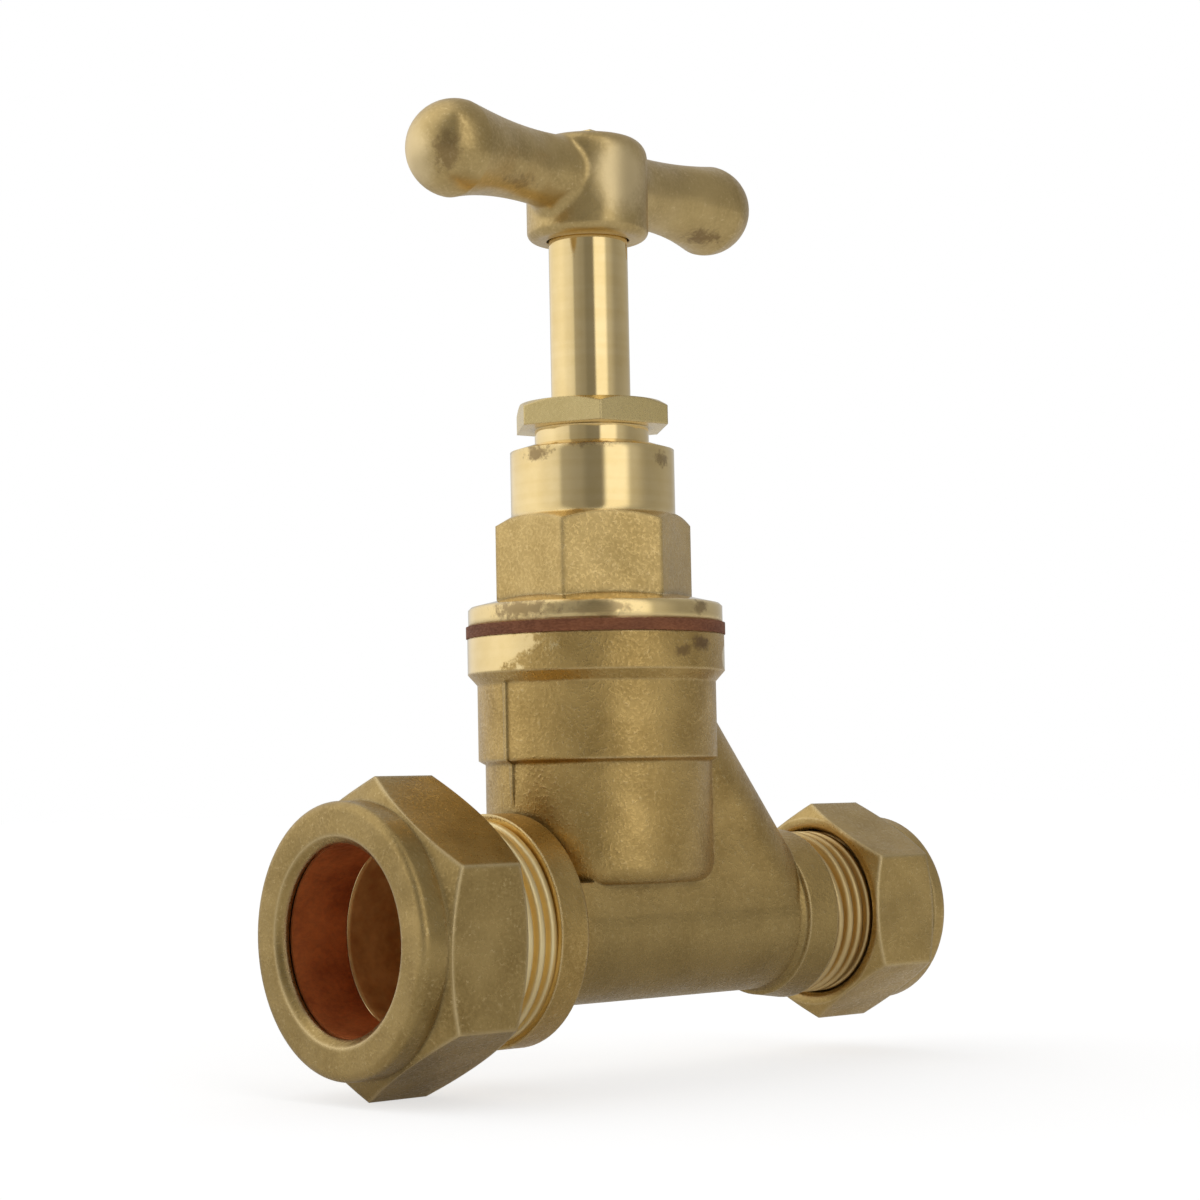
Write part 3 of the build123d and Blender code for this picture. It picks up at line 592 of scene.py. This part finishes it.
# brightness along a list of stops, with value going from low to high over the whole list
def toneRamp(tree, value, low, high, stops):
    share = addNode(tree, "ShaderNodeMapRange", {"Value": value, "From Min": low, "From Max": high})
    node = addNode(tree, "ShaderNodeValToRGB", {0: share.outputs[0]})
    node.color_ramp.interpolation = "EASE"
    elements = node.color_ramp.elements
    while len(elements) < len(stops):
        elements.new(0.5)
    first, last = stops[0][0], stops[-1][0]
    for element, (at, tone) in zip(elements, stops):
        element.position = (at - first) / (last - first)
        element.color = (tone, tone, tone, 1.0)
    return node.outputs[0]


# a wall of soft light round the part, its brightness set by direction
def makeStudioWall(wall):
    world = bpy.data.worlds.new("studioWall")
    bpy.context.scene.world = world
    world.use_nodes = True
    tree = world.node_tree
    tree.nodes.clear()
    toWall = tree.nodes.new("ShaderNodeTexCoord").outputs["Generated"]
    direction = addNode(tree, "ShaderNodeSeparateXYZ", {0: toWall}).outputs
    turn = mathNode(tree, "ARCTAN2", direction[1], direction[0])
    around = toneRamp(tree, turn, -np.pi, np.pi, wall["azimuthStops"])
    height = toneRamp(tree, direction[2], -1.0, 1.0, wall["heightStops"])
    tone = product(tree, product(tree, around, height), wall["strength"])
    lit = addNode(tree, "ShaderNodeBackground", {"Color": tone, "Strength": 1.0}).outputs[0]
    paper = addNode(tree, "ShaderNodeBackground", {"Color": wall["paper"], "Strength": 1.0}).outputs[0]
    toCamera = tree.nodes.new("ShaderNodeLightPath").outputs["Is Camera Ray"]
    mix = addNode(tree, "ShaderNodeMixShader", {0: toCamera, 1: lit, 2: paper}).outputs[0]
    output = tree.nodes.new("ShaderNodeOutputWorld")
    tree.links.new(mix, output.inputs[0])


palePaper = {
    "halfM": 3.0,
    "seen": (0.55, 0.66),       # grey and glow of the paper as the camera sees it
    "mirrored": (0.70, 0.12),   # and as the brass mirrors it
}


# a large sheet of pale paper under the lowest point of the part
def makeFloor(sheet):
    half, low = sheet["halfM"], cadBox[0][2]
    mesh = bpy.data.meshes.new("floor")
    mesh.from_pydata([(-half, -half, low), (half, -half, low), (half, half, low), (-half, half, low)], [],
                     [(0, 1, 2, 3)])
    floor = bpy.data.objects.new("floor", mesh)
    bpy.context.scene.collection.objects.link(floor)
    material = bpy.data.materials.new("palePaper")
    material.use_nodes = True
    tree = material.node_tree
    tree.nodes.clear()

    def paper(grey, glow):
        matt = addNode(tree, "ShaderNodeBsdfDiffuse", {"Color": (grey, grey, grey, 1.0)}).outputs[0]
        lift = addNode(tree, "ShaderNodeEmission", {"Color": (glow, glow, glow, 1.0)}).outputs[0]
        return addNode(tree, "ShaderNodeAddShader", {0: matt, 1: lift}).outputs[0]

    toCamera = tree.nodes.new("ShaderNodeLightPath").outputs["Is Camera Ray"]
    mirrored, seen = paper(*sheet["mirrored"]), paper(*sheet["seen"])
    mix = addNode(tree, "ShaderNodeMixShader", {0: toCamera, 1: mirrored, 2: seen}).outputs[0]
    output = tree.nodes.new("ShaderNodeOutputMaterial")
    tree.links.new(mix, output.inputs[0])
    mesh.materials.append(material)


camera = {
    "place": (-214.42, -254.77, 17.05),
    "azimuth": 42.107,    # degrees from +Y towards +X
    "pitch": 3.826,       # looking slightly up
    "roll": -1.147,
    "lens": 83.15, "sensor": 36.0,
    "clipStartM": 0.01,
}


def makeCamera(spec):
    azimuth, pitch, roll = np.radians([spec["azimuth"], spec["pitch"], spec["roll"]])
    look = Vector((np.sin(azimuth) * np.cos(pitch), np.cos(azimuth) * np.cos(pitch), np.sin(pitch)))
    level = Vector((np.cos(azimuth), -np.sin(azimuth), 0.0))
    over = level.cross(look)
    right = level * np.cos(roll) + over * np.sin(roll)
    up = over * np.cos(roll) - level * np.sin(roll)
    view = bpy.data.cameras.new("camera")
    view.lens = spec["lens"]
    view.sensor_width = spec["sensor"]
    view.clip_start = spec["clipStartM"]
    eye = bpy.data.objects.new("camera", view)
    bpy.context.scene.collection.objects.link(eye)
    turn = Matrix((right, up, -look)).transposed().to_4x4()
    eye.matrix_world = Matrix.Translation(Vector(inMetres(spec["place"]))) @ turn
    bpy.context.scene.camera = eye


makeStudioWall(studioWall)
makeFloor(palePaper)
makeCamera(camera)
bpy.context.scene.view_settings.view_transform = "Standard"
print("studio and camera set")
